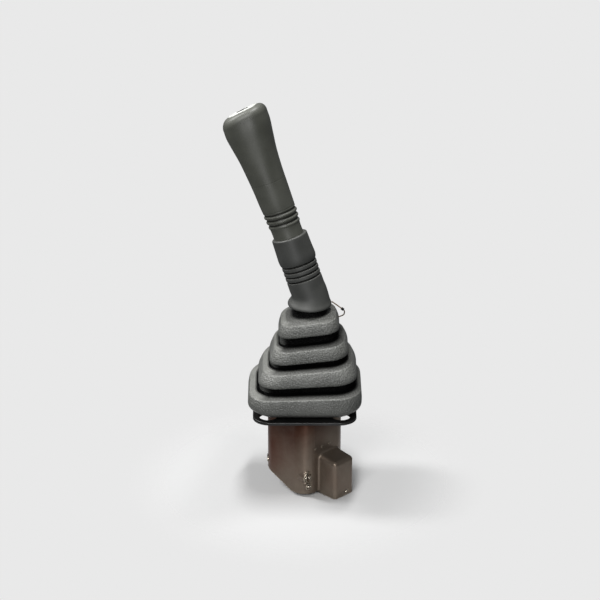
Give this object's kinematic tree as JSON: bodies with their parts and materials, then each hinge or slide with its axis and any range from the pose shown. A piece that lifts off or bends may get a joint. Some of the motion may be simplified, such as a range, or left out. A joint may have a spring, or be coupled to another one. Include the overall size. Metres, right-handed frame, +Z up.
{
  "type": "hydraulic pilot joystick valve",
  "caption": "Pilot control joystick: ringed hand grip on a leaning lever over stepped rubber bellows, square mounting plate, and a cast valve body with a side port box below",
  "frame": {"origin": "centre of the underside of the mounting plate", "axes": "+Z up out of the console, the lever leans to -X, the port box looks to +X -Y"},
  "size_m": [0.1426, 0.1156, 0.4261],
  "materials": {
    "phosphated_iron": "brown-black phosphated casting, oiled",
    "plug_steel": "turned steel plug",
    "black_plate": "black satin paint",
    "plated_screws": "zinc-plated steel",
    "machined_steel": "machined steel",
    "ground_steel": "ground and polished steel",
    "lever_steel": "black oxide steel",
    "spring_steel": "oiled spring wire",
    "bellows_rubber": "pebbled dark grey rubber",
    "sleeve_rubber": "fine-grained dark grey rubber",
    "seal_rubber": "black nitrile",
    "grip_plastic": "satin moulded dark grey plastic",
    "cap_plastic": "pale moulded cap",
    "button_plastic": "black moulded button",
    "switch_plastic": "black moulded case",
    "lead_jacket": "thin brown-grey lead"
  },
  "bodies": {
    "base": {"valve_body": "phosphated_iron", "closing_plugs": "plug_steel", "mounting_plate": "black_plate", "plate_screws": "plated_screws", "boot_frame": "black_plate", "lower_yoke": "machined_steel", "bellows_lower": "bellows_rubber", "bush_right": "machined_steel", "rod_seal_right": "seal_rubber", "bush_ring_right": "seal_rubber", "return_spring_right": "spring_steel", "bush_back": "machined_steel", "rod_seal_back": "seal_rubber", "bush_ring_back": "seal_rubber", "return_spring_back": "spring_steel", "bush_left": "machined_steel", "rod_seal_left": "seal_rubber", "bush_ring_left": "seal_rubber", "return_spring_left": "spring_steel", "bush_front": "machined_steel", "rod_seal_front": "seal_rubber", "bush_ring_front": "seal_rubber", "return_spring_front": "spring_steel"},
    "cross": {"joint_cross": "machined_steel"},
    "lever": {"upper_yoke": "machined_steel", "swash_disc": "machined_steel", "adjusting_nut": "plated_screws", "lever_rod": "lever_steel", "bellows_upper": "bellows_rubber", "sleeve": "sleeve_rubber", "grip": "grip_plastic", "grip_cap": "cap_plastic", "switch_capsule": "switch_plastic", "lead": "lead_jacket"},
    "button": {"push_button": "button_plastic"},
    "plunger_right": {"push_rod_right": "ground_steel", "spring_seat_right": "machined_steel"},
    "spool_right": {"spool_right": "ground_steel", "metering_spring_right": "spring_steel"},
    "plunger_back": {"push_rod_back": "ground_steel", "spring_seat_back": "machined_steel"},
    "spool_back": {"spool_back": "ground_steel", "metering_spring_back": "spring_steel"},
    "plunger_left": {"push_rod_left": "ground_steel", "spring_seat_left": "machined_steel"},
    "spool_left": {"spool_left": "ground_steel", "metering_spring_left": "spring_steel"},
    "plunger_front": {"push_rod_front": "ground_steel", "spring_seat_front": "machined_steel"},
    "spool_front": {"spool_front": "ground_steel", "metering_spring_front": "spring_steel"}
  },
  "joints": [
    {"name": "tilt_front_back", "type": "hinge", "parent": "base", "child": "cross", "pos_m": [0, 0, 0.016], "axis": [1, 0, 0], "range_deg": [-19, 19], "stiffness_Nm_per_rad": 6, "deforming": ["bellows_lower", "bellows_upper"]},
    {"name": "tilt_side", "type": "hinge", "parent": "cross", "child": "lever", "pos_m": [0, 0, 0.016], "axis": [0, 1, 0], "range_deg": [-19, 19], "stiffness_Nm_per_rad": 6, "springref_deg": 0.97, "deforming": ["bellows_upper", "bellows_lower"]},
    {"name": "button_press", "type": "slide", "parent": "lever", "child": "button", "axis": [0.4405, -0.2419, -0.8645], "range_m": [0, 0.0016], "stiffness_N_per_m": 1000},
    {"name": "plunger_right_slide", "type": "slide", "parent": "base", "child": "plunger_right", "axis": [0, 0, 1], "range_m": [-0.0081, 0.0081], "deforming": ["return_spring_right"]},
    {"name": "spool_right_slide", "type": "slide", "parent": "base", "child": "spool_right", "axis": [0, 0, 1], "range_m": [-0.0022, 0.0022], "deforming": ["metering_spring_right"]},
    {"name": "plunger_back_slide", "type": "slide", "parent": "base", "child": "plunger_back", "axis": [0, 0, 1], "range_m": [-0.0081, 0.0081], "deforming": ["return_spring_back"]},
    {"name": "spool_back_slide", "type": "slide", "parent": "base", "child": "spool_back", "axis": [0, 0, 1], "range_m": [-0.0022, 0.0022], "deforming": ["metering_spring_back"]},
    {"name": "plunger_left_slide", "type": "slide", "parent": "base", "child": "plunger_left", "axis": [0, 0, 1], "range_m": [-0.0081, 0.0081], "deforming": ["return_spring_left"]},
    {"name": "spool_left_slide", "type": "slide", "parent": "base", "child": "spool_left", "axis": [0, 0, 1], "range_m": [-0.0022, 0.0022], "deforming": ["metering_spring_left"]},
    {"name": "plunger_front_slide", "type": "slide", "parent": "base", "child": "plunger_front", "axis": [0, 0, 1], "range_m": [-0.0081, 0.0081], "deforming": ["return_spring_front"]},
    {"name": "spool_front_slide", "type": "slide", "parent": "base", "child": "spool_front", "axis": [0, 0, 1], "range_m": [-0.0022, 0.0022], "deforming": ["metering_spring_front"]}
  ],
  "couplings": [
    {"joint": "plunger_right_slide", "follows": "tilt_side", "m_per_rad": -0.024},
    {"joint": "spool_right_slide", "follows": "tilt_side", "m_per_rad": -0.006},
    {"joint": "plunger_back_slide", "follows": "tilt_front_back", "m_per_rad": 0.024},
    {"joint": "spool_back_slide", "follows": "tilt_front_back", "m_per_rad": 0.006},
    {"joint": "plunger_left_slide", "follows": "tilt_side", "m_per_rad": 0.024},
    {"joint": "spool_left_slide", "follows": "tilt_side", "m_per_rad": 0.006},
    {"joint": "plunger_front_slide", "follows": "tilt_front_back", "m_per_rad": -0.024},
    {"joint": "spool_front_slide", "follows": "tilt_front_back", "m_per_rad": -0.006}
  ]
}
